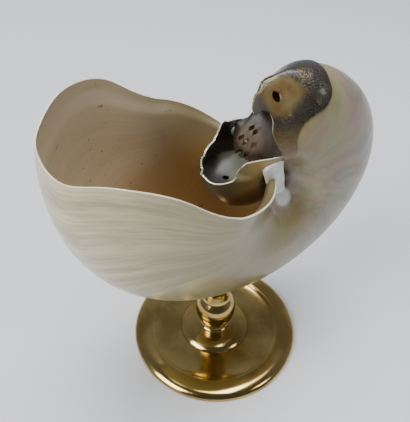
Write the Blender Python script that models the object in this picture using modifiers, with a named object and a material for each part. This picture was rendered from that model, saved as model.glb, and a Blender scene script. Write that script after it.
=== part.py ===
"""A polished nautilus shell on a turned brass stand.

The shell is whole. Its outer whorl opens up and to the left with a wavy lip, and the inner
whorl that shows in the mouth is carved as a helmet: a raised crown, a domed pierced visor
and a scooped chin guard. Lengths are in millimetres here and turned to metres at the end.
"""
import math

import bmesh
import bpy
from mathutils import Matrix, Vector

MM = 0.001
MERGE = 0.00001

# The coil: its axis runs along Y, and angles turn from +X towards +Z.
COIL_RADIUS = 95.0
COIL_CENTRE = Vector((17.0, -7.3, 128.3))
COIL_LEAN = 5.7
TIGHTENING = 0.153
EXTRA_TIGHTENING = 0.044
HALF_WIDTH = 0.394
SHOULDER = 0.411
ROUNDNESS = 2.2
UMBILICUS_REACH = 0.06
UMBILICUS_HEIGHT = 0.161
UMBILICUS_CURVE = 1.92
LIP_ANGLES = (161.4, 160.6, 154.8, 151.8, 156.2, 154.1, 151.0, 148.6, 148.0)
LAST_ANGLE = 668.0
WALL = 2.4
INNER_WALL = 1.7
LIP_WALL = 1.2

# The carved crown of the helmet, where the section turns into a pointed arch.
CREST_START = 428.0
CREST_FULL = 452.0
CREST_END = 520.0
CREST_ROUNDNESS = 1.35
CROWN_RAISE = 0.9
CROWN_OUTLINE = (
    (20.0, 50.0), (17.1, 42.3), (16.2, 38.0), (12.4, 34.2), (7.3, 31.7), (3.5, 28.8),
    (1.3, 25.2), (0.7, 21.3), (1.3, 15.0), (-6.0, 15.0), (-30.0, 20.0), (-30.0, 50.0),
)
# The part of the inner whorl that is cut away, seen from the side.
MOUTH_OUTLINE = (
    (-45.0, -1.0), (-31.0, 0.0), (-26.0, 3.0), (-22.0, 5.5), (-19.5, 10.5), (-17.5, 12.5),
    (-12.5, 14.0), (-4.0, 15.5), (-5.5, 18.0), (-8.4, 24.7), (-9.3, 30.4), (-11.0, 33.0),
    (-12.5, 33.5), (-15.0, 31.5), (-15.0, 35.0), (-13.0, 38.0), (-12.0, 48.0), (-45.0, 48.0),
)
MOUTH_HALF_WIDTH = 15.5
EYE_ANGLE = 458.0
EYE_PLACE = 0.30
EYE_DIAMETER = 3.4

# Domed walls inside the whorls: the angle of the edge, the bulge in degrees, the thickness.
VISOR = (462.0, 30.0, 1.6)
CHIN_GUARD = (541.0, 15.0, 1.6)
LAST_SEPTUM = (292.0, 14.0, 1.6)
DOME_HEART = 0.55
DOME_REACH = 0.13
SIPHON_ANGLE = 555.0
SIPHON_REACH = 0.66
SIPHON_DIAMETER = 3.0
VISOR_HOLE = (1.25, 1.0)
VISOR_HOLE_CENTRE = (-12.6, -1.2, 16.2)
VISOR_HOLE_ROW = Vector((2.6, -1.8, 3.6))
VISOR_HOLE_STEP = Vector((2.6, -2.2, -1.4))

# The callus over the umbilicus, on both sides.
CALLUS_OUTLINE = (
    (-4.6, -9.8), (-8.9, -0.8), (-12.0, 6.2), (-12.5, 10.0), (-11.0, 12.0), (-7.0, 12.8),
    (-2.3, 12.8), (-1.8, 8.0), (0.2, 2.0), (2.5, -6.0), (2.0, -13.0),
)
CALLUS_INNER = 8.0
CALLUS_OUTER = 15.6
PILLAR_RADIUS = 7.0
PILLAR_HALF_LENGTH = 8.5

# The stand.
GAP = 0.3
FOOT_PROFILE = (
    (0.0, 2.6), (25.0, 2.6), (32.0, 3.0), (37.6, 4.0), (38.4, 4.6), (40.0, 4.9),
    (44.5, 4.6), (48.0, 3.4), (49.4, 1.9), (49.5, 0.6), (48.9, 0.0), (0.0, 0.0),
)
STEM_LOWER = (
    (7.0, 34.0), (7.6, 31.0), (8.8, 29.4), (10.2, 27.6), (11.3, 25.0), (11.8, 21.6),
    (11.6, 18.2), (10.6, 14.8), (9.2, 12.2), (8.2, 10.6), (8.1, 9.2), (8.9, 7.8),
    (11.4, 6.9), (15.0, 6.1), (18.4, 4.9), (20.6, 3.5), (21.0, 2.6 + GAP), (0.0, 2.6 + GAP),
)
STEM_UPPER = (
    (0.0, 64.0), (12.5, 64.0), (12.5, 54.0), (12.0, 51.5), (9.6, 48.4), (7.8, 45.0),
    (6.8, 41.0), (6.6, 37.5),
)
SEAT_DEPTH = 16.0
ROUND_STEPS = 36

SHELL_COLOUR = (0.62, 0.58, 0.47, 1.0)
BRASS_COLOUR = (0.42, 0.30, 0.10, 1.0)


def to_stand():
    """The matrix from the coil's own axes to the stand's axes, in metres."""
    lean = Matrix.Rotation(math.radians(COIL_LEAN), 4, "X")
    return Matrix.Scale(MM, 4) @ Matrix.Translation(COIL_CENTRE) @ lean


def blend(value, start, end):
    """Smooth step from 0 at start to 1 at end."""
    share = min(max((value - start) / (end - start), 0.0), 1.0)
    return share * share * (3.0 - 2.0 * share)


def whorl_radius(angle):
    turn = math.radians(angle - 180.0)
    bend = 0.5 * EXTRA_TIGHTENING * turn * abs(turn) / (2.0 * math.pi)
    return COIL_RADIUS * math.exp(-TIGHTENING * turn - bend)


def section(place, angle=0.0):
    """Reach and half width of the whorl, 0 at the keel, 1 at the shoulder, 2 at the axis."""
    if place <= 1.0:
        crest = blend(angle, CREST_START, CREST_FULL) * (1.0 - blend(angle, CREST_END, CREST_END + 12.0))
        roundness = ROUNDNESS + (CREST_ROUNDNESS - ROUNDNESS) * crest
        turn = place * math.pi / 2.0
        reach = SHOULDER + (1.0 - SHOULDER) * max(math.cos(turn), 0.0) ** (2.0 / roundness)
        return reach, HALF_WIDTH * math.sin(turn) ** (2.0 / roundness)
    share = place - 1.0
    reach = SHOULDER - (SHOULDER - UMBILICUS_REACH) * share
    drop = (HALF_WIDTH - UMBILICUS_HEIGHT) * share ** UMBILICUS_CURVE
    return reach, HALF_WIDTH - drop


def whorl_point(angle, place, offset=0.0):
    """A point of the outer surface; a negative place is on the far side."""
    reach, width = section(abs(place), angle)
    radius = whorl_radius(angle)
    side = 1.0 if place < 0.0 else -1.0
    outward = Vector((reach, width)).normalized()
    along = reach * radius + outward.x * offset
    across = side * (width * radius + outward.y * offset)
    turn = math.radians(angle)
    return Vector((along * math.cos(turn), across, along * math.sin(turn)))


def lip_angle(place):
    """The lip's angle at a place, on a smooth curve through LIP_ANGLES."""
    spot = abs(place) / 2.0 * (len(LIP_ANGLES) - 1)
    first = min(int(spot), len(LIP_ANGLES) - 2)
    share = spot - first
    before = LIP_ANGLES[max(first - 1, 0)]
    start, end = LIP_ANGLES[first], LIP_ANGLES[first + 1]
    after = LIP_ANGLES[min(first + 2, len(LIP_ANGLES) - 1)]
    leave, arrive = (end - before) / 2.0, (after - start) / 2.0
    cubic = 2.0 * (start - end) + leave + arrive
    square = 3.0 * (end - start) - 2.0 * leave - arrive
    return ((cubic * share + square) * share + leave) * share + start


def collection(name):
    made = bpy.data.collections.new(name)
    bpy.context.scene.collection.children.link(made)
    return made


def material(name, colour, roughness, metallic):
    made = bpy.data.materials.new(name)
    made.use_nodes = True
    shader = made.node_tree.nodes["Principled BSDF"]
    shader.inputs["Base Color"].default_value = colour
    shader.inputs["Roughness"].default_value = roughness
    shader.inputs["Metallic"].default_value = metallic
    return made


def add_object(name, bm, holder, matrix=None):
    mesh = bpy.data.meshes.new(name)
    if matrix is not None:
        bm.transform(matrix)
    bm.to_mesh(mesh)
    bm.free()
    made = bpy.data.objects.new(name, mesh)
    holder.objects.link(made)
    return made


def solidify(piece, thickness, group=None, least=0.0):
    skin = piece.modifiers.new("wall", "SOLIDIFY")
    skin.thickness = thickness * MM
    skin.offset = -1.0
    skin.use_even_offset = True
    if group:
        skin.vertex_group = group
        skin.thickness_vertex_group = least


def combine(piece, tool, operation):
    step = piece.modifiers.new(tool.name, "BOOLEAN")
    step.object = tool
    step.operation = operation
    step.solver = "EXACT"
    tool.hide_render = True
    tool.display_type = "WIRE"


def whorl_sheet(name, holder, angles, places, offset=0.0, lip=False):
    """A grid bent round the coil; with lip, its first rows follow the wavy lip."""
    bm = bmesh.new()
    bmesh.ops.create_grid(bm, x_segments=len(places) - 1, y_segments=len(angles) - 1, size=1.0)
    thin = []
    for vertex in bm.verts:
        column = round((vertex.co.x + 1.0) / 2.0 * (len(places) - 1))
        row = round((vertex.co.y + 1.0) / 2.0 * (len(angles) - 1))
        angle = angles[row]
        if lip:
            angle += (lip_angle(places[column]) - angles[0]) * (1.0 - blend(angle, angles[0], 200.0))
        vertex.co = whorl_point(angle, places[column], offset)
        inner = blend(angle, 380.0, 470.0)
        wall = WALL + (INNER_WALL - WALL) * inner
        thin.append(LIP_WALL / WALL if lip and row == 0 else wall / WALL)
    bmesh.ops.reverse_faces(bm, faces=bm.faces)
    made = add_object(name, bm, holder, to_stand())
    group = made.vertex_groups.new(name="thickness")
    for index, weight in enumerate(thin):
        group.add([index], weight, "REPLACE")
    return made


def dome(name, holder, edge_angle, bulge, thickness, rounds=20, rings=4):
    """A wall across the whorl, domed towards the coil's heart."""
    bm = bmesh.new()
    bmesh.ops.create_uvsphere(bm, u_segments=rounds, v_segments=rings * 2, radius=1.0)
    everything = bm.verts[:] + bm.edges[:] + bm.faces[:]
    bmesh.ops.bisect_plane(bm, geom=everything, dist=0.0001, plane_co=(0.0, 0.0, 0.0),
                           plane_no=(0.0, 0.0, 1.0), clear_inner=True)
    for vertex in bm.verts:
        spread = min(math.hypot(vertex.co.x, vertex.co.y), 1.0)
        turn = math.atan2(vertex.co.y, vertex.co.x)
        place = abs(turn) / math.pi * 2.0
        angle = edge_angle + bulge * max(vertex.co.z, 0.0)
        reach, width = section(place, edge_angle)
        reach = max(reach, DOME_REACH)
        radius = whorl_radius(angle)
        inside = 1.0 - 0.6 * thickness / radius
        reach = DOME_HEART + (reach * inside - DOME_HEART) * spread
        width = width * inside * spread
        side = 1.0 if turn < 0.0 else -1.0
        around = math.radians(angle)
        vertex.co = Vector((reach * radius * math.cos(around), side * width * radius,
                            reach * radius * math.sin(around)))
    bmesh.ops.recalc_face_normals(bm, faces=bm.faces)
    made = add_object(name, bm, holder, to_stand())
    solidify(made, thickness)
    made.modifiers["wall"].offset = 0.0
    made.modifiers["wall"].use_even_offset = False
    return made


def slab(name, holder, outline, inner, outer):
    """A flat outline in the coil's side view, as thick as from inner to outer across."""
    curve = bpy.data.curves.new(name, "CURVE")
    curve.dimensions = "2D"
    curve.fill_mode = "BOTH"
    curve.extrude = abs(outer - inner) / 2.0
    spline = curve.splines.new("POLY")
    spline.points.add(len(outline) - 1)
    for point, (x, z) in zip(spline.points, outline):
        point.co = (x, z, 0.0, 1.0)
    spline.use_cyclic_u = True
    guide = bpy.data.objects.new(name + "_guide", curve)
    holder.objects.link(guide)
    bpy.context.view_layer.update()
    flat = guide.evaluated_get(bpy.context.evaluated_depsgraph_get())
    mesh = bpy.data.meshes.new_from_object(flat)
    bpy.data.objects.remove(guide)
    bm = bmesh.new()
    bm.from_mesh(mesh)
    bpy.data.meshes.remove(mesh)
    bmesh.ops.remove_doubles(bm, verts=bm.verts, dist=MERGE)
    bmesh.ops.recalc_face_normals(bm, faces=bm.faces)
    stand_up = Matrix.Rotation(math.radians(90.0), 4, "X")
    middle = Matrix.Translation((0.0, (inner + outer) / 2.0, 0.0))
    bm.transform(middle @ stand_up)
    return add_object(name, bm, holder, to_stand())


def rod(name, holder, centre, direction, radius, length, sides, stretch=1.0):
    """A straight rod through a point, round or with a few flat sides."""
    bm = bmesh.new()
    bmesh.ops.create_cone(bm, cap_ends=True, segments=sides, radius1=radius, radius2=radius, depth=length)
    bm.transform(Matrix.Diagonal((stretch, 1.0, 1.0, 1.0)))
    turn = direction.to_track_quat("Z", "Y").to_matrix().to_4x4()
    bm.transform(Matrix.Translation(centre) @ turn)
    return add_object(name, bm, holder, to_stand())


def turned(name, holder, profile):
    """A profile spun round the stand's axis."""
    bm = bmesh.new()
    points = [bm.verts.new((radius * MM, 0.0, height * MM)) for radius, height in profile]
    for upper, lower in zip(points, points[1:]):
        bm.edges.new((upper, lower))
    made = add_object(name, bm, holder)
    spin = made.modifiers.new("turned", "SCREW")
    spin.axis = "Z"
    spin.steps = ROUND_STEPS
    spin.render_steps = ROUND_STEPS
    spin.use_merge_vertices = True
    spin.merge_threshold = MERGE
    spin.use_normal_calculate = True
    return made


def shade(piece, angle):
    piece.data.shade_smooth()
    piece.data.set_sharp_from_angle(angle=math.radians(angle))


def spread(first, last, count):
    return [first + (last - first) * index / (count - 1) for index in range(count)]


def build_shell(parts, cutters):
    places = spread(-2.0, 2.0, 23)
    angles = [148.0, 152.0, 158.0, 166.0] + spread(176.0, LAST_ANGLE, 47)
    shell = whorl_sheet("nautilus_shell", parts, angles, places, lip=True)
    solidify(shell, WALL, "thickness")

    crown = whorl_sheet("crown", cutters, spread(420.0, 486.0, 12), spread(-1.4, 1.4, 19), CROWN_RAISE)
    solidify(crown, CROWN_RAISE + 0.5 * INNER_WALL)
    outline = slab("crown_outline", cutters, CROWN_OUTLINE, -30.0, 30.0)
    combine(crown, outline, "INTERSECT")
    combine(shell, crown, "UNION")

    mouth = slab("mouth", cutters, MOUTH_OUTLINE, -MOUTH_HALF_WIDTH, MOUTH_HALF_WIDTH)
    combine(shell, mouth, "DIFFERENCE")

    combine(shell, dome("visor", cutters, *VISOR), "UNION")
    combine(shell, dome("chin_guard", cutters, *CHIN_GUARD), "UNION")
    combine(shell, dome("last_septum", cutters, *LAST_SEPTUM), "UNION")

    across = Vector((0.0, 1.0, 0.0))
    pillar = rod("pillar", cutters, Vector(), across, PILLAR_RADIUS, 2.0 * PILLAR_HALF_LENGTH, 16)
    combine(shell, pillar, "UNION")
    for label, side in (("near", -1.0), ("far", 1.0)):
        callus = slab(label + "_callus", cutters, CALLUS_OUTLINE, side * CALLUS_INNER, side * CALLUS_OUTER)
        combine(shell, callus, "UNION")

    for label, side in (("near", 1.0), ("far", -1.0)):
        spot = whorl_point(EYE_ANGLE, side * EYE_PLACE)
        inward = Vector((spot.x, spot.y * 2.0, spot.z)).normalized()
        eye = rod(label + "_eye", cutters, spot, inward, EYE_DIAMETER / 2.0, 8.0, 10)
        combine(shell, eye, "DIFFERENCE")
    turn = math.radians(SIPHON_ANGLE)
    reach = SIPHON_REACH * whorl_radius(SIPHON_ANGLE)
    spot = Vector((reach * math.cos(turn), 0.0, reach * math.sin(turn)))
    along = Vector((-math.sin(turn), 0.0, math.cos(turn)))
    siphon = rod("siphon", cutters, spot, along, SIPHON_DIAMETER / 2.0, 9.0, 12)
    combine(shell, siphon, "DIFFERENCE")

    number = 0
    for row in (-1, 0, 1):
        for column in (-1, 0, 1):
            if row == 1 and column == 1:
                continue
            number += 1
            spot = Vector(VISOR_HOLE_CENTRE) + VISOR_HOLE_ROW * column + VISOR_HOLE_STEP * row
            away = Vector((-1.0, 0.0, 0.35)).normalized()
            width, stretch = VISOR_HOLE
            hole = rod("visor_hole_" + str(number), cutters, spot, away, width, 10.0, 4, stretch)
            combine(shell, hole, "DIFFERENCE")
    weld = shell.modifiers.new("weld", "WELD")
    weld.merge_threshold = 5.0 * MERGE
    return shell


def build_stand(parts, cutters):
    foot = turned("brass_foot", parts, FOOT_PROFILE)
    stem = turned("brass_stem", parts, STEM_UPPER + STEM_LOWER)
    seat = whorl_sheet("seat", cutters, spread(235.0, 290.0, 12), spread(-0.8, 0.8, 13), GAP)
    solidify(seat, SEAT_DEPTH)
    combine(stem, seat, "DIFFERENCE")
    return foot, stem


def main():
    for thing in list(bpy.data.objects):
        bpy.data.objects.remove(thing)
    parts = collection("nautilus_on_stand")
    cutters = collection("cutters")
    shell = build_shell(parts, cutters)
    foot, stem = build_stand(parts, cutters)
    shell.data.materials.append(material("pearl_shell", SHELL_COLOUR, 0.35, 0.0))
    brass = material("turned_brass", BRASS_COLOUR, 0.22, 1.0)
    for piece in (foot, stem):
        piece.data.materials.append(brass)
    shade(shell, 40.0)
    shade(foot, 30.0)
    shade(stem, 30.0)


main()
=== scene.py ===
"""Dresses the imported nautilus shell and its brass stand, and sets them on a pale studio floor.

Lengths in the shell's own code are millimetres, and they turn to metres where a mesh is placed.
"""
import math

import bmesh
import bpy
from mathutils import Matrix, Vector


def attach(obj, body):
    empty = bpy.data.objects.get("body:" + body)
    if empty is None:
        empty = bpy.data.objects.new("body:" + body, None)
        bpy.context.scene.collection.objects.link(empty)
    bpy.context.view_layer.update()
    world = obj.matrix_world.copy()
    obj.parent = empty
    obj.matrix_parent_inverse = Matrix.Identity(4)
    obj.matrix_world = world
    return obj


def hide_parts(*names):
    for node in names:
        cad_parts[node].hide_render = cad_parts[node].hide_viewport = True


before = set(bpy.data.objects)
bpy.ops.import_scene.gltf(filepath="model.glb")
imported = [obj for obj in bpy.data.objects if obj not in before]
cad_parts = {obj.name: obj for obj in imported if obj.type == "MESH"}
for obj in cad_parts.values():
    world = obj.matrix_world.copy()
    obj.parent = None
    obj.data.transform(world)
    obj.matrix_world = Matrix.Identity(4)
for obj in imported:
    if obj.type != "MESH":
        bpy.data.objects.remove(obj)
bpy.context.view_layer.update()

bl_info = {
    "name": "Nautilus on a Brass Stand",
    "version": (1, 0, 0),
    "blender": (4, 5, 0),
    "location": "View3D > Sidebar > Nautilus",
    "description": "Builds a carved nautilus shell, its turned stand and a studio floor",
    "category": "Add Mesh",
}

MM = 0.001
SIDE_VIEW = (Vector((1.0, 0.0, 0.0)), Vector((0.0, 0.0, 1.0)))
BODY = "root"
SHELL_NODE = "nautilus_shell"

# The coil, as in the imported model: its axis runs along Y, angles turn from +X towards +Z.
COIL_RADIUS = 95.0
COIL_CENTRE = Vector((17.0, -7.3, 128.3))
COIL_LEAN = 5.7
TIGHTENING = 0.153
EXTRA_TIGHTENING = 0.044
HALF_WIDTH = 0.394
SHOULDER = 0.411
ROUNDNESS = 2.2
UMBILICUS_REACH = 0.06
UMBILICUS_HEIGHT = 0.161
UMBILICUS_CURVE = 1.92
LIP_ANGLES = (161.4, 160.6, 154.8, 151.8, 156.2, 154.1, 151.0, 148.6, 148.0)
LIP_START = 148.0
LIP_BLEND_END = 200.0
LAST_ANGLE = 668.0
WALL = 2.4
INNER_WALL = 0.65
LIP_WALL = 0.7
SKIN = 0.12
THIN_ANGLES = (380.0, 450.0)
LIP_ROWS = 5.0

# The carved crown, chin guard, visor and callus.
CREST_START = 428.0
CREST_FULL = 452.0
CREST_END = 520.0
CREST_FADE = 12.0
CREST_ROUNDNESS = 1.35
CROWN_RAISE = 0.75
FACE_SEAM = (
    (-4.0, 15.5), (-5.5, 18.0), (-8.4, 24.7), (-7.9, 29.4), (-8.9, 32.4),
    (-11.6, 33.3), (-14.0, 31.6), (-14.7, 33.1), (-14.3, 34.6), (-13.5, 36.1), (-12.4, 37.5), (-9.0, 40.0),
)
CROWN_OUTLINE = (
    (20.0, 50.0), (17.1, 42.3), (16.2, 38.0), (12.4, 34.2), (7.3, 31.7), (3.5, 28.8), (1.3, 25.2),
    (0.7, 21.3), (1.3, 15.0), *FACE_SEAM, (-5.0, 50.0),
)
CROWN_THICKNESS = 1.6
CROWN_ANGLES = (420.0, 490.0)
CROWN_ROWS = 100
CROWN_REACH = 1.4
CROWN_COLUMNS = 121
MOUTH_OUTLINE = (
    (-45.0, 3.0), (-34.0, 2.5), (-30.5, 0.8), (-26.0, 2.6), (-22.0, 5.5), (-19.5, 10.5), (-17.5, 12.5),
    (-12.5, 14.0), *FACE_SEAM, (-5.0, 48.0), (-45.0, 48.0),
)
CARVED_FROM = 420.0
CARVED_TO = 600.0
CARVED_STEP = 1.3
TAIL_STEP = 2.0
TAIL_ROWS = 30
VISOR_CUT = (
    (-9.0, 8.6), (-3.0, 9.0), (1.0, 9.4), (2.6, 11.4), (3.8, 18.2), (6.6, 24.2), (5.8, 36.0), (-13.0, 36.0),
    (-13.0, 8.6),
)
EYE_ANGLE = 458.0
EYE_PLACE = 0.30
EYE_RADIUS = 1.7
EYE_CUT_RADIUS = 2.38
EYE_SIDES = 28
VISOR = {"edge_angle": 462.0, "bulge": 50.0, "heart": 0.5, "bottom": 0.0, "lean": 0.93, "inset": 0.9}
CHIN_GUARD = {"edge_angle": 541.0, "bulge": 15.0, "heart": 0.55, "bottom": 0.13, "lean": 0.0, "inset": 0.9}
LAST_SEPTUM = {"edge_angle": 292.0, "bulge": 14.0, "heart": 0.55, "bottom": 0.13, "lean": 0.0, "inset": 2.2}
DOME_THICKNESS = 0.9
SNAP = 1.6
FAR_OUTLINE = (
    (-45.0, 3.0), (-34.0, 2.5), (-31.5, 7.5), (-28.5, 11.2), (-23.0, 10.8), (-20.7, 13.0), (-20.2, 16.3),
    (-18.5, 19.4), (-15.0, 16.6), (-12.0, 15.4), (-5.8, 13.3), (-0.5, 12.4), (1.4, 14.9), (1.3, 17.3),
    (1.1, 20.2), (0.9, 23.4), (0.0, 28.0), (-3.0, 34.0), (-5.0, 38.0), (-6.0, 50.0), (-45.0, 50.0),
)
SIPHON_CENTRE = Vector((-19.5, -0.1, -4.5))
SIPHON_SIZE = (1.5, 1.0)
SIPHON_SIDES = 20
VISOR_HOLE_SIZE = (1.7, 1.15)
VISOR_HOLE_TURN = 40.0
VISOR_HOLE_CENTRE = Vector((-15.4, -5.4, 19.3))
VISOR_HOLE_SPOTS = (
    (2.1, 5.0), (3.6, 3.2), (-1.8, 1.8), (0.0, 0.0), (3.2, -1.6), (-2.3, -3.7), (0.7, -4.9), (-5.4, -1.0),
)
CALLUS_OUTLINE = (
    (-3.4, -13.0), (-6.6, -3.0), (-10.0, 5.2), (-11.5, 9.0), (-10.0, 11.0), (-7.0, 12.0),
    (-2.3, 12.4), (-1.4, 8.0), (0.4, 2.0), (2.3, -6.0), (1.6, -16.0), (-0.6, -17.0),
)
CALLUS_PATCH = Vector((0.2, -16.6, -8.6))
CALLUS_INNER = 12.5
CALLUS_OUTER = 15.6
CALLUS_EDGE = 1.6
CALLUS_EDGE_STEPS = 4
PILLAR_RADIUS = 7.0
PILLAR_HALF_LENGTH = 8.5
PILLAR_SIDES = 48

# The stand, as profiles of radius and height.
GAP = 0.3
FOOT_PROFILE = (
    (0.3, 2.6), (25.0, 2.6), (32.0, 3.0), (37.6, 4.0), (38.4, 4.6), (40.0, 4.9),
    (44.5, 4.6), (48.0, 3.4), (49.4, 1.9), (49.5, 0.6), (48.9, 0.0), (0.3, 0.0),
)
STEM_PROFILE = (
    (0.3, 60.0), (12.5, 60.0), (12.5, 54.0), (12.0, 51.5), (9.6, 48.4), (7.8, 45.0),
    (6.8, 41.0), (6.6, 37.5), (7.0, 34.0), (7.6, 31.0), (8.8, 29.4), (10.2, 27.6), (11.3, 25.0),
    (11.8, 21.6), (11.6, 18.2), (10.6, 14.8), (9.2, 12.2), (8.2, 10.6), (8.1, 9.2), (8.9, 7.8),
    (11.4, 6.9), (15.0, 6.1), (18.4, 4.9), (20.6, 3.5), (21.0, 2.6 + GAP), (0.3, 2.6 + GAP),
)
PROFILE_STEPS = 4
SEAT_DEPTH = 16.0
SEAT_ANGLES = (235.0, 290.0)
SEAT_REACH = 0.8
SEAT_ROWS = 40

# The camera, as fitted to the photo's frame of 410 by 422 pixels.
CAMERA_PLACE = Vector((-86.29, -146.18, 248.82))
CAMERA_RIGHT = Vector((0.8918, -0.4520, 0.0201))
CAMERA_UP = Vector((0.2879, 0.6012, 0.7454))
FOCAL_PIXELS = 462.05
FRAME_HEIGHT = 422
SENSOR_WIDTH = 36.0
CLIP_RANGE = (0.01, 30.0)

# The studio: each light has a name, a place, a size and a share of the main light's power.
LIGHTS = (
    ("left_softbox", (-1.50, -0.20, 1.30), 1.0, 1.0),
    ("right_softbox", (0.90, -1.30, 1.40), 0.4, 0.14),
    ("top_softbox", (0.10, 0.10, 2.00), 1.1, 1.2),
)
LIGHT_TARGET = Vector((0.0, 0.0, 0.11))
AIR_COLOUR = (0.93, 0.95, 1.0, 1.0)
AIR_FALLOFF = (-0.5, 0.95)
AIR_FRONT_SHARE = 0.25

# Edges sharper than these angles stay sharp, in degrees.
SHARP_WALL = 35.0
SHARP_WHORL = 40.0
SHARP_BRASS = 50.0


def to_stand():
    """The matrix from the coil's own axes to the stand's axes, in metres."""
    lean = Matrix.Rotation(math.radians(COIL_LEAN), 4, "X")
    return Matrix.Scale(MM, 4) @ Matrix.Translation(COIL_CENTRE) @ lean


def blend(value, start, end):
    """Smooth step from 0 at start to 1 at end."""
    share = min(max((value - start) / (end - start), 0.0), 1.0)
    return share * share * (3.0 - 2.0 * share)


def spread(first, last, count):
    return [first + (last - first) * index / (count - 1) for index in range(count)]


def through(points, share):
    """A value on a smooth curve through evenly spaced points, share from 0 to 1."""
    spot = min(max(share, 0.0), 1.0) * (len(points) - 1)
    first = min(int(spot), len(points) - 2)
    part = spot - first
    start, end = points[first], points[first + 1]
    before = points[max(first - 1, 0)]
    after = points[min(first + 2, len(points) - 1)]
    leave = (end - before) / 2.0
    arrive = (after - start) / 2.0
    cubic = 2.0 * (start - end) + leave + arrive
    square = 3.0 * (end - start) - 2.0 * leave - arrive
    return ((cubic * part + square) * part + leave) * part + start


def whorl_radius(angle):
    turn = math.radians(angle - 180.0)
    bend = 0.5 * EXTRA_TIGHTENING * turn * abs(turn) / (2.0 * math.pi)
    return COIL_RADIUS * math.exp(-TIGHTENING * turn - bend)


def section(place, angle=0.0):
    """Reach and half width of the whorl, 0 at the keel, 1 at the shoulder, 2 at the axis."""
    if place <= 1.0:
        crest = blend(angle, CREST_START, CREST_FULL)
        crest *= 1.0 - blend(angle, CREST_END, CREST_END + CREST_FADE)
        roundness = ROUNDNESS + (CREST_ROUNDNESS - ROUNDNESS) * crest
        turn = place * math.pi / 2.0
        reach = SHOULDER + (1.0 - SHOULDER) * max(math.cos(turn), 0.0) ** (2.0 / roundness)
        return reach, HALF_WIDTH * math.sin(turn) ** (2.0 / roundness)
    share = place - 1.0
    reach = SHOULDER - (SHOULDER - UMBILICUS_REACH) * share
    drop = (HALF_WIDTH - UMBILICUS_HEIGHT) * share ** UMBILICUS_CURVE
    return reach, HALF_WIDTH - drop


def whorl_point(angle, place, offset=0.0):
    """A point of the outer surface; a negative place is on the far side."""
    reach, width = section(abs(place), angle)
    radius = whorl_radius(angle)
    side = 1.0 if place < 0.0 else -1.0
    outward = Vector((reach, width)).normalized()
    along = reach * radius + outward.x * offset
    across = side * (width * radius + outward.y * offset)
    turn = math.radians(angle)
    return Vector((along * math.cos(turn), across, along * math.sin(turn)))


def lip_angle(place):
    return through(LIP_ANGLES, abs(place) / 2.0)


def deselect():
    if bpy.context.object and bpy.context.object.mode != "OBJECT":
        bpy.ops.object.mode_set(mode="OBJECT")
    bpy.ops.object.select_all(action="DESELECT")


def pick(piece):
    deselect()
    piece.select_set(True)
    bpy.context.view_layer.objects.active = piece


def apply_all(piece):
    pick(piece)
    for step in list(piece.modifiers):
        bpy.ops.object.modifier_apply(modifier=step.name)


def solidify(piece, thickness, group=None, second=0, third=0, even=True):
    skin = piece.modifiers.new("wall", "SOLIDIFY")
    skin.thickness = thickness * MM
    skin.offset = -1.0
    skin.use_even_offset = even
    skin.material_offset = second
    skin.material_offset_rim = third
    if group:
        skin.vertex_group = group
        skin.thickness_vertex_group = 0.0
    return skin


def combine(piece, tool, operation):
    step = piece.modifiers.new(tool.name, "BOOLEAN")
    step.object = tool
    step.operation = operation
    step.solver = "EXACT"
    apply_all(piece)
    bpy.data.objects.remove(tool)


def finish_piece(piece, nodes, materials, angle=SHARP_WALL):
    """Smooths a piece, gives it its materials, attaches it to the body and hides the imported parts it
    stands in for.
    """
    for index, made in enumerate(materials):
        if index < len(piece.data.materials):
            piece.data.materials[index] = made
        else:
            piece.data.materials.append(made)
    pick(piece)
    bpy.ops.object.shade_smooth_by_angle(angle=math.radians(angle))
    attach(piece, BODY)
    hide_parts(*nodes)
    deselect()
    return piece


def whorl_sheet(name, angles, places, offset=0.0, lip=False):
    """A grid bent round the coil, in the coil's axes, with a UV map of how far it had grown there."""
    deselect()
    bpy.ops.mesh.primitive_grid_add(x_subdivisions=len(places) - 1, y_subdivisions=len(angles) - 1, size=2.0)
    piece = bpy.context.object
    piece.name = name
    piece.data.name = name
    mesh = piece.data
    spots = []
    turns = []
    group = piece.vertex_groups.new(name="thickness")
    for vertex in mesh.vertices:
        column = round((vertex.co.x + 1.0) / 2.0 * (len(places) - 1))
        row = round((vertex.co.y + 1.0) / 2.0 * (len(angles) - 1))
        place = places[column]
        angle = angles[row]
        shift = lip_angle(place) - LIP_START
        if lip:
            angle += shift * (1.0 - blend(angle, LIP_START, LIP_BLEND_END))
        spots.append((angle - shift, place))
        vertex.co = whorl_point(angle, place, offset)
        turns.append(angle)
        wall = WALL + (INNER_WALL - WALL) * blend(angle, *THIN_ANGLES)
        if lip:
            wall = LIP_WALL + (wall - LIP_WALL) * blend(row, 0.0, LIP_ROWS)
        group.add([vertex.index], wall / WALL, "REPLACE")
    mesh.uv_layers[0].name = "grown"
    for loop in mesh.loops:
        angle, place = spots[loop.vertex_index]
        mesh.uv_layers[0].data[loop.index].uv = (angle / 360.0, place)
    mesh.attributes.new("turned_by", "FLOAT", "POINT").data.foreach_set("value", turns)
    mesh.flip_normals()
    return piece


def encloses(outline, x, z):
    """Whether a point lies inside a closed outline."""
    inside = False
    for (x1, z1), (x2, z2) in zip(outline, outline[1:] + outline[:1]):
        if (z1 > z) != (z2 > z) and x < x1 + (z - z1) / (z2 - z1) * (x2 - x1):
            inside = not inside
    return inside


def nearest(outline, x, z):
    """The point of a closed outline that lies nearest to x, z."""
    best = None
    for (x1, z1), (x2, z2) in zip(outline, outline[1:] + outline[:1]):
        length = (x2 - x1) ** 2 + (z2 - z1) ** 2
        share = min(max(((x - x1) * (x2 - x1) + (z - z1) * (z2 - z1)) / length, 0.0), 1.0)
        spot = (x1 + share * (x2 - x1), z1 + share * (z2 - z1))
        gap = math.dist(spot, (x, z))
        if best is None or gap < best[0]:
            best = (gap, spot)
    return best[1]


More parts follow.
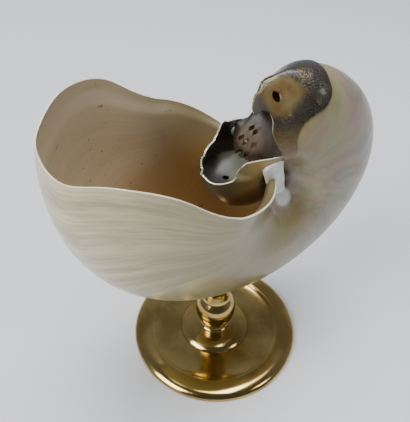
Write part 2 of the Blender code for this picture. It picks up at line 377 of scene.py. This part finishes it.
def flowing(outline, count=6):
    """The same closed outline with its corners smoothed."""
    spots = []
    size = len(outline)
    for index in range(size):
        four = [outline[(index + step) % size] for step in (-1, 0, 1, 2)]
        for step in range(count):
            share = (1.0 + step / count) / 3.0
            spots.append((through([x for x, z in four], share), through([z for x, z in four], share)))
    return tuple(spots)


def ring_of_corners(centre, view, size, turn, count=4):
    """An outline round a point, seen from the front of a view: four corners make a diamond."""
    across, up = view
    cos = math.cos(math.radians(turn))
    sin = math.sin(math.radians(turn))
    spots = []
    for index in range(count):
        corner = 2.0 * math.pi * index / count
        x = size[0] * math.cos(corner)
        y = size[1] * math.sin(corner)
        spots.append((centre.dot(across) + x * cos - y * sin, centre.dot(up) + x * sin + y * cos))
    return tuple(spots)


def photo_view():
    """The camera's right and up directions in the coil's axes."""
    lean = Matrix.Rotation(math.radians(-COIL_LEAN), 3, "X")
    return lean @ CAMERA_RIGHT.normalized(), lean @ CAMERA_UP.normalized()


def trim(piece, outline, keep, first_angle=0.0, last_angle=LAST_ANGLE, half=0.0, view=SIDE_VIEW):
    """Cuts a sheet along an outline seen from one side and keeps what is inside it, or outside it.

    A half of -1 cuts only the near half of the shell, 1 only the far half.
    """
    across, up = view
    bm = bmesh.new()
    bm.from_mesh(piece.data)
    turned_by = bm.verts.layers.float.get("turned_by")
    old_edge = {vertex for vertex in bm.verts if vertex.is_boundary}
    doomed = []
    for face in bm.faces:
        middle = face.calc_center_median()
        reached = turned_by is None or first_angle < face.verts[0][turned_by] < last_angle
        if reached and middle.y * half >= 0.0:
            if encloses(outline, middle.dot(across), middle.dot(up)) != keep:
                doomed.append(face)
    bmesh.ops.delete(bm, geom=doomed, context="FACES")
    for vertex in bm.verts:
        if vertex.is_boundary and vertex not in old_edge:
            seen = (vertex.co.dot(across), vertex.co.dot(up))
            spot = nearest(outline, *seen)
            if math.dist(spot, seen) < SNAP:
                vertex.co += across * (spot[0] - seen[0]) + up * (spot[1] - seen[1])
    bm.to_mesh(piece.data)
    bm.free()


def slab(name, outline, inner, outer):
    """A flat outline in the coil's side view, as thick as from inner to outer across."""
    bm = bmesh.new()
    corners = [bm.verts.new((x, inner, z)) for x, z in outline]
    side = bm.faces.new(corners)
    grown = bmesh.ops.extrude_face_region(bm, geom=[side])
    moved = [item for item in grown["geom"] if isinstance(item, bmesh.types.BMVert)]
    bmesh.ops.translate(bm, verts=moved, vec=(0.0, outer - inner, 0.0))
    bmesh.ops.recalc_face_normals(bm, faces=bm.faces)
    bm.transform(to_stand())
    mesh = bpy.data.meshes.new(name)
    bm.to_mesh(mesh)
    bm.free()
    piece = bpy.data.objects.new(name, mesh)
    bpy.context.scene.collection.objects.link(piece)
    return piece


def rod(name, centre, direction, radius, length, sides):
    deselect()
    bpy.ops.mesh.primitive_cylinder_add(vertices=sides, radius=radius, depth=length)
    piece = bpy.context.object
    piece.name = name
    turn = direction.to_track_quat("Z", "Y").to_matrix().to_4x4()
    piece.data.transform(to_stand() @ Matrix.Translation(centre) @ turn)
    return piece


def dome(name, edge_angle, bulge, heart, bottom, lean, inset, rounds=192, rings=44):
    """A wall across the whorl, domed along the coil; with lean, its upper part is flatter."""
    deselect()
    bpy.ops.mesh.primitive_uv_sphere_add(segments=rounds, ring_count=rings * 2, radius=1.0)
    piece = bpy.context.object
    piece.name = name
    bpy.ops.object.mode_set(mode="EDIT")
    bpy.ops.mesh.select_all(action="SELECT")
    bpy.ops.mesh.bisect(plane_co=(0.0, 0.0, 0.0), plane_no=(0.0, 0.0, 1.0), clear_inner=True)
    bpy.ops.object.mode_set(mode="OBJECT")
    for vertex in piece.data.vertices:
        away = min(math.hypot(vertex.co.x, vertex.co.y), 1.0)
        turn = math.atan2(vertex.co.y, vertex.co.x)
        upward = away * math.cos(turn)
        angle = edge_angle + bulge * max(vertex.co.z, 0.0) * (1.0 - lean * blend(upward, 0.0, 0.6))
        reach, width = section(abs(turn) / math.pi * 2.0, edge_angle)
        outward = Vector((reach, width)).normalized() * inset
        radius = whorl_radius(angle)
        reach = max(reach, bottom) - outward.x / radius
        reach = heart + (reach - heart) * away
        side = 1.0 if turn < 0.0 else -1.0
        around = math.radians(angle)
        across = side * (width * radius - outward.y) * away
        point = Vector((reach * radius * math.cos(around), across, reach * radius * math.sin(around)))
        vertex.co = point
    return piece


def thicken(piece):
    """Stands a trimmed dome in its place and gives it its thickness."""
    piece.data.transform(to_stand())
    skin = solidify(piece, DOME_THICKNESS, even=False)
    skin.offset = 0.0
    apply_all(piece)


def rounded(values, first, part):
    """A value between two of a row of values, on a curve that never swings past them."""
    start, end = values[first], values[first + 1]
    slopes = []
    for index in (first, first + 1):
        before = values[index] - values[max(index - 1, 0)]
        after = values[min(index + 1, len(values) - 1)] - values[index]
        slopes.append(2.0 * before * after / (before + after) if before * after > 0.0 else 0.0)
    cubic = 2.0 * (start - end) + slopes[0] + slopes[1]
    square = 3.0 * (end - start) - 2.0 * slopes[0] - slopes[1]
    return ((cubic * part + square) * part + slopes[0]) * part + start


def turned(name, profile, sides, fine):
    """A profile turned on the lathe: a ring that is extruded, scaled and lifted from point to point."""
    deselect()
    smooth = []
    radii = [radius for radius, height in profile]
    heights = [height for radius, height in profile]
    for index in range(len(profile) - 1):
        for step in range(fine):
            smooth.append((rounded(radii, index, step / fine), rounded(heights, index, step / fine)))
    smooth.append(profile[-1])
    start_radius, start_height = smooth[0]
    bpy.ops.mesh.primitive_circle_add(vertices=sides, radius=start_radius * MM, fill_type="NGON",
                                      location=(0.0, 0.0, start_height * MM))
    piece = bpy.context.object
    piece.name = name
    bpy.ops.object.transform_apply(location=True, rotation=True, scale=True)
    bpy.ops.object.mode_set(mode="EDIT")
    bpy.ops.mesh.select_mode(type="EDGE")
    bpy.ops.mesh.select_all(action="SELECT")
    for before, after in zip(smooth, smooth[1:]):
        scale = after[0] / before[0]
        rise = (after[1] - before[1]) * MM
        bpy.ops.mesh.extrude_region_move(TRANSFORM_OT_translate={"value": (0.0, 0.0, rise)})
        bpy.ops.transform.resize(value=(scale, scale, 1.0), center_override=(0.0, 0.0, after[1] * MM))
    bpy.ops.mesh.select_all(action="SELECT")
    bpy.ops.mesh.remove_doubles(threshold=0.000001)
    bpy.ops.mesh.normals_make_consistent(inside=False)
    bpy.ops.object.mode_set(mode="OBJECT")
    return piece


class Socket:
    """A shader socket that can be used in Python expressions."""

    def __init__(self, finish, socket):
        self.finish = finish
        self.socket = socket

    def math(self, operation, *others):
        values = {0: self}
        for index, other in enumerate(others):
            values[index + 1] = other
        return self.finish.node("ShaderNodeMath", {"operation": operation}, values)

    def __add__(self, other):
        return self.math("ADD", other)

    __radd__ = __add__

    def __sub__(self, other):
        return self.math("SUBTRACT", other)

    def __rsub__(self, other):
        return self.finish.node("ShaderNodeMath", {"operation": "SUBTRACT"}, {0: other, 1: self})

    def __mul__(self, other):
        return self.math("MULTIPLY", other)

    def between(self, low, high):
        """0 below low, 1 above high, smooth in between."""
        settings = {"interpolation_type": "SMOOTHSTEP"}
        return self.finish.node("ShaderNodeMapRange", settings, {"Value": self, 1: low, 2: high})


class Finish:
    """A material whose look is written as expressions."""

    def __init__(self, name, **constants):
        self.material = bpy.data.materials.new(name)
        self.material.use_nodes = True
        self.tree = self.material.node_tree
        self.shader = self.tree.nodes["Principled BSDF"]
        for label, value in constants.items():
            self.shader.inputs[label.replace("_", " ").title().replace("Ior", "IOR")].default_value = value
        place = self.tree.nodes.new("ShaderNodeTexCoord")
        self.place = Socket(self, place.outputs["Object"])
        self.grown = Socket(self, place.outputs["UV"])

    def node(self, kind, settings=None, values=None, output=0):
        made = self.tree.nodes.new(kind)
        for label, value in (settings or {}).items():
            if label == "stops":
                self.set_stops(made.color_ramp, value)
            else:
                setattr(made, label, value)
        for label, value in (values or {}).items():
            if isinstance(value, Socket):
                self.tree.links.new(value.socket, made.inputs[label])
            else:
                made.inputs[label].default_value = value
        return Socket(self, made.outputs[output])

    @staticmethod
    def set_stops(ramp, stops):
        while len(ramp.elements) < len(stops):
            ramp.elements.new(1.0)
        for element, (position, colour) in zip(ramp.elements, stops):
            element.position = position
            element.color = (*colour, 1.0)

    def noise(self, scale, detail=3.0, roughness=0.5, vector=None):
        values = {"Vector": vector or self.place, "Scale": scale, "Detail": detail, "Roughness": roughness}
        return self.node("ShaderNodeTexNoise", None, values)

    def stretched(self, vector, scale):
        return self.node("ShaderNodeMapping", None, {"Vector": vector, "Scale": scale})

    def distance(self, point):
        values = {0: self.place, 1: point}
        return self.node("ShaderNodeVectorMath", {"operation": "DISTANCE"}, values, 1)

    def axis(self, vector, index):
        return self.node("ShaderNodeSeparateXYZ", None, {0: vector}, index)

    def ramp(self, factor, *stops):
        return self.node("ShaderNodeValToRGB", {"stops": stops}, {"Fac": factor})

    def mix(self, factor, first, second):
        made = self.tree.nodes.new("ShaderNodeMix")
        made.data_type = "RGBA"
        for index, value in ((0, factor), (6, first), (7, second)):
            if isinstance(value, Socket):
                self.tree.links.new(value.socket, made.inputs[index])
            elif index == 0:
                made.inputs[index].default_value = value
            else:
                made.inputs[index].default_value = (*value, 1.0)
        return Socket(self, made.outputs[2])

    def feed(self, label, value):
        self.tree.links.new(value.socket, self.shader.inputs[label])

    def bump(self, height, strength, distance):
        values = {"Height": height, "Strength": strength, "Distance": distance * MM}
        self.feed("Normal", self.node("ShaderNodeBump", None, values))


def growth_lines(finish, fine=260.0):
    """Lines parallel to the lip, of uneven strength, from 0 to 1."""
    along = finish.stretched(finish.grown, (1.0, 0.012, 1.0))
    broad = finish.noise(fine * 0.22, 2.0, 0.6, along)
    narrow = finish.noise(fine, 3.0, 0.7, along)
    return broad * 0.5 + narrow * 0.5


def outer_pearl(settings):
    """Ivory on the bowl with painted shade on its right side, nacre towards the coil, olive on the bared
    inner whorl with painted shade on its left side.
    """
    finish = Finish("pearl_outside", roughness=0.3, specular_ior_level=0.4, coat_weight=0.25,
                    coat_roughness=0.15)
    lines = growth_lines(finish)
    cloud = finish.noise(26.0, 3.0, 0.5)
    bands = finish.stretched(finish.grown, (1.0, 0.10, 1.0))
    tint = finish.noise(17.0, 2.0, 0.5, bands)
    ivory = finish.mix(lines.between(0.40, 0.60), tuple(settings.ivory_shade), tuple(settings.ivory))
    nacre = finish.ramp(tint, (0.30, (0.23, 0.30, 0.19)), (0.42, (0.37, 0.36, 0.26)),
                        (0.50, (0.42, 0.29, 0.26)), (0.58, (0.27, 0.20, 0.24)),
                        (0.66, (0.33, 0.35, 0.26)), (0.78, (0.20, 0.27, 0.19)))
    nacre = finish.mix(0.42, nacre, (0.11, 0.115, 0.055))
    nacre = finish.mix(lines.between(0.40, 0.64) * 0.45, nacre, (0.20, 0.145, 0.095))
    across = finish.axis(finish.place, 0) + cloud * 0.05
    # Painted shade: the ivory darkens towards the right, away from the main light.
    side = finish.axis(finish.place, 0).between(-0.085, 0.005)
    ivory = finish.mix(side * 0.9, ivory, (0.165, 0.132, 0.035))
    colour = finish.mix(across.between(0.030, 0.078), ivory, nacre)
    low = 1.0 - finish.axis(finish.place, 0).between(-0.045, -0.015)
    turn = finish.axis(finish.grown, 0)
    hollow = finish.axis(finish.grown, 1).math("ABSOLUTE").between(1.5, 1.95)
    rosy = finish.ramp(finish.noise(120.0, 3.0, 0.6), (0.38, (0.24, 0.19, 0.24)), (0.48, (0.36, 0.31, 0.25)),
                       (0.60, (0.13, 0.08, 0.045)))
    colour = finish.mix(hollow * (1.0 - low) * 0.9, colour, rosy)
    height = finish.axis(finish.place, 2)
    olive = finish.mix(cloud.between(0.38, 0.62), (0.22, 0.15, 0.055), (0.40, 0.31, 0.13))
    # Painted shade: the bared inner whorl is near black on its left side and olive on its right. Apart from
    # that, it turns dark brown towards its bottom.
    bared = finish.mix(finish.axis(finish.place, 0).between(-0.012, 0.008), (0.035, 0.045, 0.035), olive)
    bared = finish.mix(height.between(0.112, 0.126), (0.075, 0.035, 0.015), bared)
    patch = finish.distance(to_stand() @ CALLUS_PATCH)
    colour = finish.mix(1.0 - patch.between(0.0030, 0.0052), colour, (0.62, 0.61, 0.59))
    colour = finish.mix(turn.between(1.28, 1.36), colour, bared)
    finish.feed("Base Color", colour)
    finish.feed("Roughness", 0.24 + lines * 0.14)
    finish.bump(lines, 0.12, 0.3)
    return finish.material


def inner_tan(settings):
    """Tan near the lip, and painted shade: red brown deep inside, near black furthest in, dark brown towards
    the coil; with a few dark specks.
    """
    finish = Finish("tan_inside", roughness=0.42, specular_ior_level=0.4, coat_weight=0.15,
                    coat_roughness=0.2)
    turn = finish.axis(finish.grown, 0)
    cloud = finish.noise(30.0, 4.0, 0.6)
    lines = growth_lines(finish, 160.0)
    across = finish.axis(finish.place, 0)
    # Painted shade: the inside turns red brown deeper into the mouth.
    depth = (turn + cloud * 0.10 - 0.05).between(0.44, 0.68)
    # Painted shade: the inside wall turns dark brown towards the coil.
    shade_near_coil = across.between(-0.045, -0.002)
    tan = finish.mix(lines.between(0.35, 0.65), tuple(settings.tan_shade), tuple(settings.tan))
    colour = finish.mix(shade_near_coil * 0.95, tan, (0.11, 0.085, 0.034))
    colour = finish.mix(depth, colour, tuple(settings.deep_shade_brown))
    specks = finish.noise(420.0, 2.0, 0.5).between(0.70, 0.74)
    colour = finish.mix(specks * 0.6, colour, (0.05, 0.035, 0.02))
    # Painted shade: near black furthest inside the chamber.
    colour = finish.mix(turn.between(1.15, 1.25), colour, (0.045, 0.030, 0.017))
    finish.feed("Base Color", colour)
    finish.bump(cloud, 0.08, 0.4)
    return finish.material


def lip_edge():
    finish = Finish("lip_edge", roughness=0.3, coat_weight=0.3)
    colour = finish.ramp(finish.noise(90.0), (0.3, (0.58, 0.52, 0.38)), (0.7, (0.80, 0.76, 0.63)))
    finish.feed("Base Color", colour)
    return finish.material


def carved_crown(settings):
    """Dark bronze nacre with fine wrinkles, an amber patch round the eye and a painted grey reflection on
    its left part.
    """
    finish = Finish("bronze_crown", metallic=0.4, roughness=0.3, coat_weight=0.3, coat_roughness=0.12)
    warp = finish.noise(110.0, 3.0, 0.6)
    swirl = finish.noise(70.0, 2.0, 0.5)
    place = finish.node("ShaderNodeVectorMath", {"operation": "MULTIPLY_ADD"},
                        {0: finish.node("ShaderNodeCombineXYZ", None, {0: swirl, 1: warp, 2: swirl}),
                         1: (0.012, 0.012, 0.012), 2: finish.place})
    ridges = finish.node("ShaderNodeTexWave", {"wave_type": "BANDS", "bands_direction": "DIAGONAL"},
                         {"Vector": place, "Scale": 560.0, "Distortion": 4.5, "Detail": 2.0,
                          "Detail Scale": 1.2}, 1)
    bronze = finish.ramp(warp, (0.30, (0.008, 0.007, 0.008)), (0.44, (0.022, 0.017, 0.012)),
                         (0.54, (0.015, 0.015, 0.020)), (0.66, (0.050, 0.036, 0.015)))
    wrinkle = ridges.between(0.62, 0.95)
    colour = finish.mix(wrinkle * 0.45, bronze, (0.15, 0.12, 0.07))
    across = finish.axis(finish.place, 0)
    amber = finish.ramp(warp, (0.35, (0.15, 0.085, 0.03)), (0.65, (0.22, 0.18, 0.075)))
    gap = finish.distance(settings.eye_place)
    lens = 1.0 - (gap + warp * 0.010).between(0.0110, 0.0150)
    colour = finish.mix(lens, colour, amber)
    # Painted reflection: the crown's left part is washed grey.
    front = 1.0 - across.between(0.003, 0.010)
    colour = finish.mix(front * (1.0 - lens) * 0.85, colour, (0.115, 0.10, 0.097))
    height = finish.axis(finish.place, 2)
    strap = 1.0 - height.between(0.149, 0.157)
    colour = finish.mix(strap * 0.8, colour, (0.13, 0.085, 0.03))
    finish.feed("Base Color", colour)
    finish.feed("Roughness", 0.22 + warp * 0.16)
    finish.bump(ridges * (1.0 - lens) * (1.0 - front), 0.3, 0.2)
    return finish.material


def crown_rim():
    finish = Finish("crown_rim", metallic=0.7, roughness=0.3)
    colour = finish.ramp(finish.noise(160.0), (0.3, (0.10, 0.07, 0.03)), (0.7, (0.38, 0.27, 0.10)))
    finish.feed("Base Color", colour)
    return finish.material


def visor_nacre():
    finish = Finish("visor_nacre", roughness=0.38, specular_ior_level=0.45, coat_weight=0.1,
                    coat_roughness=0.2)
    cloud = finish.noise(150.0, 4.0, 0.6)
    colour = finish.ramp(cloud, (0.30, (0.018, 0.013, 0.010)), (0.48, (0.040, 0.029, 0.020)),
                         (0.60, (0.036, 0.034, 0.030)), (0.74, (0.10, 0.08, 0.055)))
    # Lighter round the pierced holes; painted shade makes the visor near black further from them.
    holes = finish.distance(to_stand() @ VISOR_HOLE_CENTRE)
    colour = finish.mix((1.0 - holes.between(0.0045, 0.0080)) * 0.6, colour, (0.15, 0.11, 0.07))
    colour = finish.mix(holes.between(0.0090, 0.0150), colour, (0.012, 0.010, 0.008))
    low = 1.0 - finish.axis(finish.place, 2).between(0.134, 0.141)
    nodules = finish.noise(600.0, 2.0, 0.6).between(0.60, 0.68)
    colour = finish.mix(low, colour, finish.mix(nodules, (0.11, 0.065, 0.03), (0.55, 0.48, 0.34)))
    finish.feed("Base Color", colour)
    finish.bump(cloud, 0.35, 0.6)
    return finish.material


def guard_nacre():
    finish = Finish("chin_guard_nacre", roughness=0.40, specular_ior_level=0.35, coat_weight=0.2,
                    coat_roughness=0.2)
    cloud = finish.noise(70.0, 2.0, 0.5)
    across = finish.axis(finish.place, 0) + cloud * 0.004
    colour = finish.ramp(cloud, (0.32, (0.030, 0.024, 0.022)), (0.52, (0.055, 0.046, 0.042)),
                         (0.70, (0.075, 0.075, 0.060)))
    # Painted highlight: pale green towards the right side of the dish.
    colour = finish.mix(across.between(-0.002, 0.004), colour, (0.17, 0.18, 0.13))
    finish.feed("Base Color", colour)
    finish.bump(cloud, 0.1, 0.4)
    return finish.material


def callus_white():
    finish = Finish("callus_white", roughness=0.62, specular_ior_level=0.3)
    cloud = finish.noise(260.0, 4.0, 0.6)
    finish.feed("Base Color", finish.ramp(cloud, (0.35, (0.60, 0.60, 0.58)), (0.65, (0.80, 0.80, 0.79))))
    finish.bump(cloud, 0.3, 0.3)
    return finish.material


def polished_brass(settings):
    """Olive gold with turning marks and darker patches of age."""
    finish = Finish("polished_brass", metallic=1.0, roughness=0.2)
    age = finish.noise(38.0, 4.0, 0.6)
    grain = finish.noise(300.0, 2.0, 0.5)
    colour = finish.mix(age.between(0.42, 0.64), tuple(settings.brass), tuple(settings.aged_brass))
    finish.feed("Base Color", colour)
    finish.feed("Roughness", 0.09 + age * 0.08 + grain * 0.03)
    finish.bump(grain, 0.04, 0.2)
    return finish.material


class ShellSettings(bpy.types.PropertyGroup):
    ivory: bpy.props.FloatVectorProperty(
        name="Ivory", description="Main colour of the bowl", subtype="COLOR", default=(0.59, 0.54, 0.33))
    ivory_shade: bpy.props.FloatVectorProperty(
        name="Ivory Lines", description="Colour of the growth lines", subtype="COLOR",
        default=(0.38, 0.32, 0.20))
    tan: bpy.props.FloatVectorProperty(
        name="Tan", description="Inside colour near the lip", subtype="COLOR", default=(0.70, 0.59, 0.42))
    tan_shade: bpy.props.FloatVectorProperty(
        name="Tan Lines", description="Darker inside colour near the lip", subtype="COLOR",
        default=(0.60, 0.49, 0.33))
    # Painted shade: the red brown deep inside the mouth.
    deep_shade_brown: bpy.props.FloatVectorProperty(
        name="Deep Brown", description="Colour deep inside the mouth", subtype="COLOR",
        default=(0.40, 0.245, 0.095))
    eye_place: bpy.props.FloatVectorProperty(
        name="Amber Patch", description="Centre of the crown's amber patch", subtype="XYZ", unit="LENGTH",
        default=(0.0135, -0.0190, 0.1665))
    rows: bpy.props.IntProperty(
        name="Rows", description="Rows of faces in each half of the coil", default=120, min=60, max=320)
    columns: bpy.props.IntProperty(
        name="Columns", description="Columns of faces across the whorl", default=96, min=24, max=140)


class StandSettings(bpy.types.PropertyGroup):
    brass: bpy.props.FloatVectorProperty(
        name="Brass", description="Colour of the polished brass", subtype="COLOR",
        default=(0.50, 0.370, 0.140))
    aged_brass: bpy.props.FloatVectorProperty(
        name="Aged Brass", description="Colour of the darker patches", subtype="COLOR",
        default=(0.33, 0.225, 0.075))
    sides: bpy.props.IntProperty(
        name="Sides", description="Sides of each turned ring", default=144, min=32, max=256)


class StudioSettings(bpy.types.PropertyGroup):
    floor: bpy.props.FloatVectorProperty(
        name="Floor", description="Colour of the floor", subtype="COLOR", default=(0.67, 0.68, 0.71))
    floor_size: bpy.props.FloatProperty(
        name="Floor Size", description="Side of the floor", unit="LENGTH", default=12.0)
    light: bpy.props.FloatProperty(
        name="Light", description="Power of the main light", unit="POWER", default=38.0)
    air: bpy.props.FloatProperty(
        name="Air", description="Brightness of the studio's far side", default=0.40)


class NAUTILUS_OT_shell(bpy.types.Operator):
    """Builds the shell's whorls, its lip and the opening carved in the inner whorl"""
    bl_idname = "nautilus.shell"
    bl_label = "Shell Wall"

    def execute(self, context):
        settings = context.scene.nautilus_shell
        angles = spread(LIP_START, CARVED_FROM, settings.rows)
        angles += spread(CARVED_FROM + CARVED_STEP, CARVED_TO, settings.rows)
        angles += spread(CARVED_TO + TAIL_STEP, LAST_ANGLE, TAIL_ROWS)
        places = spread(-2.0, 2.0, settings.columns + 1)
        wall = whorl_sheet("shell_wall", angles, places, -SKIN, lip=True)
        trim(wall, flowing(MOUTH_OUTLINE), False, CARVED_FROM, CARVED_TO, -1.0)
        trim(wall, flowing(FAR_OUTLINE), False, CARVED_FROM, CARVED_TO, 1.0)
        size = (EYE_CUT_RADIUS, EYE_CUT_RADIUS)
        eye = ring_of_corners(whorl_point(EYE_ANGLE, EYE_PLACE), SIDE_VIEW, size, 0.0, EYE_SIDES)
        trim(wall, eye, False, CARVED_FROM, CARVED_TO)
        wall.data.transform(to_stand())
        materials = [outer_pearl(settings), inner_tan(settings), lip_edge()]
        for made in materials:
            wall.data.materials.append(made)
        solidify(wall, WALL, "thickness", 1, 2)
        apply_all(wall)
        finish_piece(wall, [SHELL_NODE], materials, SHARP_WHORL)
        return {"FINISHED"}


class NAUTILUS_OT_crown(bpy.types.Operator):
    """Builds the raised crown of the carved helmet, with its eye holes"""
    bl_idname = "nautilus.crown"
    bl_label = "Carved Crown"

    def execute(self, context):
        settings = context.scene.nautilus_shell
        angles = spread(*CROWN_ANGLES, CROWN_ROWS)
        places = spread(-CROWN_REACH, CROWN_REACH, CROWN_COLUMNS)
        crown = whorl_sheet("carved_crown", angles, places, CROWN_RAISE)
        trim(crown, flowing(CROWN_OUTLINE), True)
        trim(crown, flowing(FAR_OUTLINE), False, half=1.0)
        size = (EYE_RADIUS, EYE_RADIUS)
        eye = ring_of_corners(whorl_point(EYE_ANGLE, EYE_PLACE), SIDE_VIEW, size, 0.0, EYE_SIDES)
        trim(crown, eye, False)
        crown.data.transform(to_stand())
        materials = [carved_crown(settings), crown_rim()]
        for made in materials:
            crown.data.materials.append(made)
        solidify(crown, CROWN_THICKNESS, second=1, third=1, even=False)
        apply_all(crown)
        finish_piece(crown, [SHELL_NODE], materials, SHARP_WHORL)
        return {"FINISHED"}


class NAUTILUS_OT_walls(bpy.types.Operator):
    """Builds the domed walls: the pierced visor, the chin guard and the last septum"""
    bl_idname = "nautilus.walls"
    bl_label = "Domed Walls"

    def execute(self, context):
        view = photo_view()
        visor = dome("pierced_visor", **VISOR)
        middle = (VISOR_HOLE_CENTRE.dot(view[0]), VISOR_HOLE_CENTRE.dot(view[1]))
        cut = tuple((middle[0] + across, middle[1] + up) for across, up in VISOR_CUT)
        trim(visor, cut, False, view=view)
        for across, up in VISOR_HOLE_SPOTS:
            centre = VISOR_HOLE_CENTRE + view[0] * across + view[1] * up
            hole = ring_of_corners(centre, view, VISOR_HOLE_SIZE, VISOR_HOLE_TURN)
            trim(visor, hole, False, view=view)
        thicken(visor)
        finish_piece(visor, [SHELL_NODE], [visor_nacre()])
        guard = dome("chin_guard_wall", **CHIN_GUARD)
        siphon = ring_of_corners(SIPHON_CENTRE, view, SIPHON_SIZE, 0.0, SIPHON_SIDES)
        trim(guard, siphon, False, view=view)
        thicken(guard)
        nacre = guard_nacre()
        finish_piece(guard, [SHELL_NODE], [nacre])
        septum = dome("last_septum", **LAST_SEPTUM)
        thicken(septum)
        finish_piece(septum, [SHELL_NODE], [nacre])
        return {"FINISHED"}


class NAUTILUS_OT_callus(bpy.types.Operator):
    """Builds the white callus over the umbilicus and the pillar between its two sides"""
    bl_idname = "nautilus.callus"
    bl_label = "Callus"

    def execute(self, context):
        white = callus_white()
        for label, side in (("near", -1.0), ("far", 1.0)):
            callus = slab(label + "_callus", CALLUS_OUTLINE, side * CALLUS_INNER, side * CALLUS_OUTER)
            bevel = callus.modifiers.new("edge", "BEVEL")
            bevel.width = CALLUS_EDGE * MM
            bevel.segments = CALLUS_EDGE_STEPS
            apply_all(callus)
            finish_piece(callus, [SHELL_NODE], [white])
        across = Vector((0.0, 1.0, 0.0))
        pillar = rod("coil_pillar", Vector(), across, PILLAR_RADIUS, 2.0 * PILLAR_HALF_LENGTH, PILLAR_SIDES)
        finish_piece(pillar, [SHELL_NODE], [bpy.data.materials["visor_nacre"]])
        return {"FINISHED"}


class NAUTILUS_OT_stand(bpy.types.Operator):
    """Turns the foot and the stem and hollows the stem's seat"""
    bl_idname = "nautilus.stand"
    bl_label = "Brass Stand"

    def execute(self, context):
        settings = context.scene.nautilus_stand
        brass = polished_brass(settings)
        foot = turned("turned_foot", FOOT_PROFILE, settings.sides, PROFILE_STEPS)
        finish_piece(foot, ["brass_foot"], [brass], SHARP_BRASS)
        stem = turned("turned_stem", STEM_PROFILE, settings.sides, PROFILE_STEPS)
        angles = spread(*SEAT_ANGLES, SEAT_ROWS)
        places = spread(-SEAT_REACH, SEAT_REACH, SEAT_ROWS)
        seat = whorl_sheet("seat", angles, places, GAP)
        solidify(seat, SEAT_DEPTH)
        apply_all(seat)
        combine(stem, seat, "DIFFERENCE")
        finish_piece(stem, ["brass_stem"], [brass], SHARP_BRASS)
        return {"FINISHED"}


class NAUTILUS_OT_studio(bpy.types.Operator):
    """Sets the floor, the lights and the camera"""
    bl_idname = "nautilus.studio"
    bl_label = "Studio"

    def execute(self, context):
        settings = context.scene.nautilus_studio
        deselect()
        bpy.ops.mesh.primitive_plane_add(size=settings.floor_size)
        floor = context.object
        floor.name = "floor"
        paper = Finish("floor_paper", roughness=0.9, specular_ior_level=0.1)
        paper.shader.inputs["Base Color"].default_value = (*settings.floor, 1.0)
        floor.data.materials.append(paper.material)
        for name, place, size, share in LIGHTS:
            self.add_light(name, place, size, settings.light * share)
        self.add_air(context, settings.air)
        self.add_camera(context)
        return {"FINISHED"}

    def add_air(self, context, brightness):
        """Even light from all round, darker from the camera's side."""
        world = bpy.data.worlds.new("studio_air")
        world.use_nodes = True
        air = world.node_tree.nodes["Background"]
        air.inputs["Color"].default_value = AIR_COLOUR
        place = world.node_tree.nodes.new("ShaderNodeTexCoord")
        front = world.node_tree.nodes.new("ShaderNodeVectorMath")
        front.operation = "DOT_PRODUCT"
        front.inputs[1].default_value = CAMERA_RIGHT.cross(CAMERA_UP).normalized()
        darker = world.node_tree.nodes.new("ShaderNodeMapRange")
        darker.interpolation_type = "SMOOTHSTEP"
        darker.inputs["From Min"].default_value = AIR_FALLOFF[0]
        darker.inputs["From Max"].default_value = AIR_FALLOFF[1]
        darker.inputs["To Min"].default_value = brightness
        darker.inputs["To Max"].default_value = brightness * AIR_FRONT_SHARE
        world.node_tree.links.new(place.outputs["Generated"], front.inputs[0])
        world.node_tree.links.new(front.outputs["Value"], darker.inputs["Value"])
        world.node_tree.links.new(darker.outputs["Result"], air.inputs["Strength"])
        context.scene.world = world

    def add_light(self, name, place, size, power):
        lamp = bpy.data.lights.new(name, "AREA")
        lamp.size = size
        lamp.energy = power
        lit = bpy.data.objects.new(name, lamp)
        lit.location = place
        lit.rotation_euler = (LIGHT_TARGET - lit.location).to_track_quat("-Z", "Y").to_euler()
        bpy.context.scene.collection.objects.link(lit)

    def add_camera(self, context):
        lens = bpy.data.cameras.new("photo_camera")
        lens.sensor_width = SENSOR_WIDTH
        lens.lens = SENSOR_WIDTH * FOCAL_PIXELS / FRAME_HEIGHT
        lens.clip_start, lens.clip_end = CLIP_RANGE
        camera = bpy.data.objects.new("photo_camera", lens)
        right = CAMERA_RIGHT.normalized()
        back = right.cross(CAMERA_UP).normalized()
        up = back.cross(right)
        turn = Matrix((right, up, back)).transposed().to_4x4()
        camera.matrix_world = Matrix.Translation(CAMERA_PLACE * MM) @ turn
        context.scene.collection.objects.link(camera)
        context.scene.camera = camera


class NAUTILUS_PT_panel(bpy.types.Panel):
    """Lists the operators and the settings of the shell, the stand and the studio"""
    bl_idname = "NAUTILUS_PT_panel"
    bl_label = "Nautilus"
    bl_space_type = "VIEW_3D"
    bl_region_type = "UI"
    bl_category = "Nautilus"

    def draw(self, context):
        for operator in OPERATORS:
            self.layout.operator(operator.bl_idname)
        for group, holder in SETTINGS:
            settings = getattr(context.scene, holder)
            box = self.layout.box()
            for label in group.__annotations__:
                box.prop(settings, label)


OPERATORS = (
    NAUTILUS_OT_studio,
    NAUTILUS_OT_shell,
    NAUTILUS_OT_crown,
    NAUTILUS_OT_walls,
    NAUTILUS_OT_callus,
    NAUTILUS_OT_stand,
)
SETTINGS = (
    (ShellSettings, "nautilus_shell"),
    (StandSettings, "nautilus_stand"),
    (StudioSettings, "nautilus_studio"),
)


def register():
    for group, holder in SETTINGS:
        bpy.utils.register_class(group)
        setattr(bpy.types.Scene, holder, bpy.props.PointerProperty(type=group))
    for made in (*OPERATORS, NAUTILUS_PT_panel):
        bpy.utils.register_class(made)


def unregister():
    for made in (NAUTILUS_PT_panel, *reversed(OPERATORS)):
        bpy.utils.unregister_class(made)
    for group, holder in reversed(SETTINGS):
        delattr(bpy.types.Scene, holder)
        bpy.utils.unregister_class(group)


def main():
    register()
    for operator in OPERATORS:
        folder, name = operator.bl_idname.split(".")
        getattr(getattr(bpy.ops, folder), name)()


if __name__ == "__main__":
    main()
